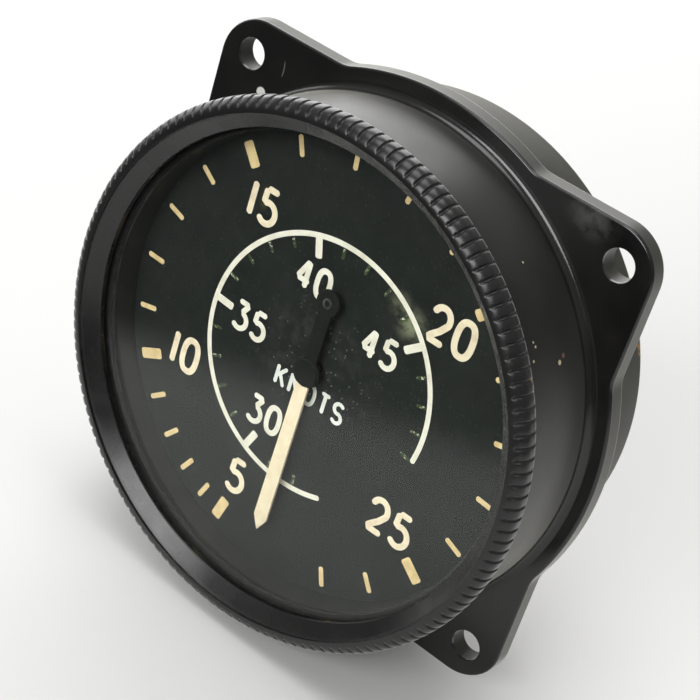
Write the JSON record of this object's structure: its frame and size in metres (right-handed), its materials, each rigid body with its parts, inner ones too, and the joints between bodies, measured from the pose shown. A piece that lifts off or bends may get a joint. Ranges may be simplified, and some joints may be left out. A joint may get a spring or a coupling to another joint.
{
  "type": "airspeed indicator",
  "caption": "Round panel-mounting airspeed indicator with a flanged case, knurled bezel, dial, geared pointer and pressure capsule.",
  "frame": {"origin": "middle of the front face of the flange, on the dial's axis", "axes": "-Y out of the dial towards the viewer, +Z towards twelve o'clock, +X to the right as the dial is read"},
  "size_m": [0.0872, 0.0519, 0.0872],
  "materials": {
    "case_moulding": "black moulded resin, satin in front and glossy on the flange",
    "bezel_enamel": "glossy black enamel over brass, worn on the ribs",
    "window_glass": "clear polished",
    "gasket_rubber": "matt",
    "spacer_enamel": "satin black",
    "dial_enamel": "matt black with pale markings",
    "pointer_paint": "cream paint, black tail",
    "union_brass": "turned, dull",
    "washer_fibre": "red-brown fibre",
    "screw_steel": "turned",
    "movement_brass": "brushed",
    "bush_bronze": "turned bronze",
    "gear_brass": "cut and polished",
    "arbor_steel": "polished",
    "spring_bronze": "rolled strip",
    "lever_steel": "brushed",
    "capsule_bronze": "pressed bronze"
  },
  "bodies": {
    "housing": {"case": "case_moulding", "bezel": "bezel_enamel", "glass": "window_glass", "glass_gasket": "gasket_rubber", "spacer_ring": "spacer_enamel", "dial": "dial_enamel", "pitot_union": "union_brass", "static_union": "union_brass", "union_washers": "washer_fibre", "union_nuts": "union_brass", "case_screws": "screw_steel", "long_pillars": "movement_brass", "back_plate": "movement_brass", "back_plate_screws": "screw_steel", "back_bushes": "bush_bronze", "short_pillars": "movement_brass", "front_plate": "movement_brass", "front_plate_screws": "screw_steel", "front_bushes": "bush_bronze", "hairspring": "spring_bronze", "hairspring_stud": "arbor_steel", "shaft_brackets": "movement_brass", "bracket_screws": "screw_steel", "capsule_back": "capsule_bronze", "capsule_front": "capsule_bronze"},
    "hand": {"pointer": "pointer_paint", "hand_staff": "arbor_steel", "hand_pinion": "gear_brass", "hairspring_collet": "gear_brass"},
    "idler": {"idler_pinion": "arbor_steel", "idler_wheel": "gear_brass"},
    "sector": {"sector_gear": "gear_brass", "sector_arbor": "arbor_steel", "sector_pin": "arbor_steel"},
    "rocker": {"rocking_shaft": "arbor_steel", "capsule_arm": "lever_steel", "striker_arm": "lever_steel"},
    "capsule_tip": {"capsule_stud": "gear_brass"}
  },
  "joints": [
    {"name": "pointer_turn", "type": "hinge", "parent": "housing", "child": "hand", "pos_m": [0, 0, 0], "axis": [0, 1, 0], "range_deg": [0, 642], "stiffness_Nm_per_rad": 0.000002, "springref_deg": -114.59, "deforming": ["hairspring"]},
    {"name": "idler_turn", "type": "hinge", "parent": "housing", "child": "idler", "pos_m": [0.0125, 0, 0.00722], "axis": [0, 1, 0], "range_deg": [-247, 0]},
    {"name": "sector_swing", "type": "hinge", "parent": "housing", "child": "sector", "pos_m": [0.00695, 0, -0.01203], "axis": [0, 1, 0], "range_deg": [0, 27.5]},
    {"name": "rocker_swing", "type": "hinge", "parent": "housing", "child": "rocker", "pos_m": [0, 0.0027, -0.01085], "axis": [1, 0, 0], "range_deg": [0, 12.2]},
    {"name": "capsule_stroke", "type": "slide", "parent": "housing", "child": "capsule_tip", "axis": [0, -1, 0], "range_m": [0, 0.0024], "deforming": ["capsule_front"]}
  ],
  "couplings": [
    {"joint": "idler_turn", "follows": "pointer_turn", "ratio": -0.38462},
    {"joint": "sector_swing", "follows": "pointer_turn", "ratio": 0.042735},
    {"joint": "rocker_swing", "follows": "pointer_turn", "ratio": 0.018854},
    {"joint": "capsule_stroke", "follows": "pointer_turn", "m_per_rad": 0.00020457}
  ]
}
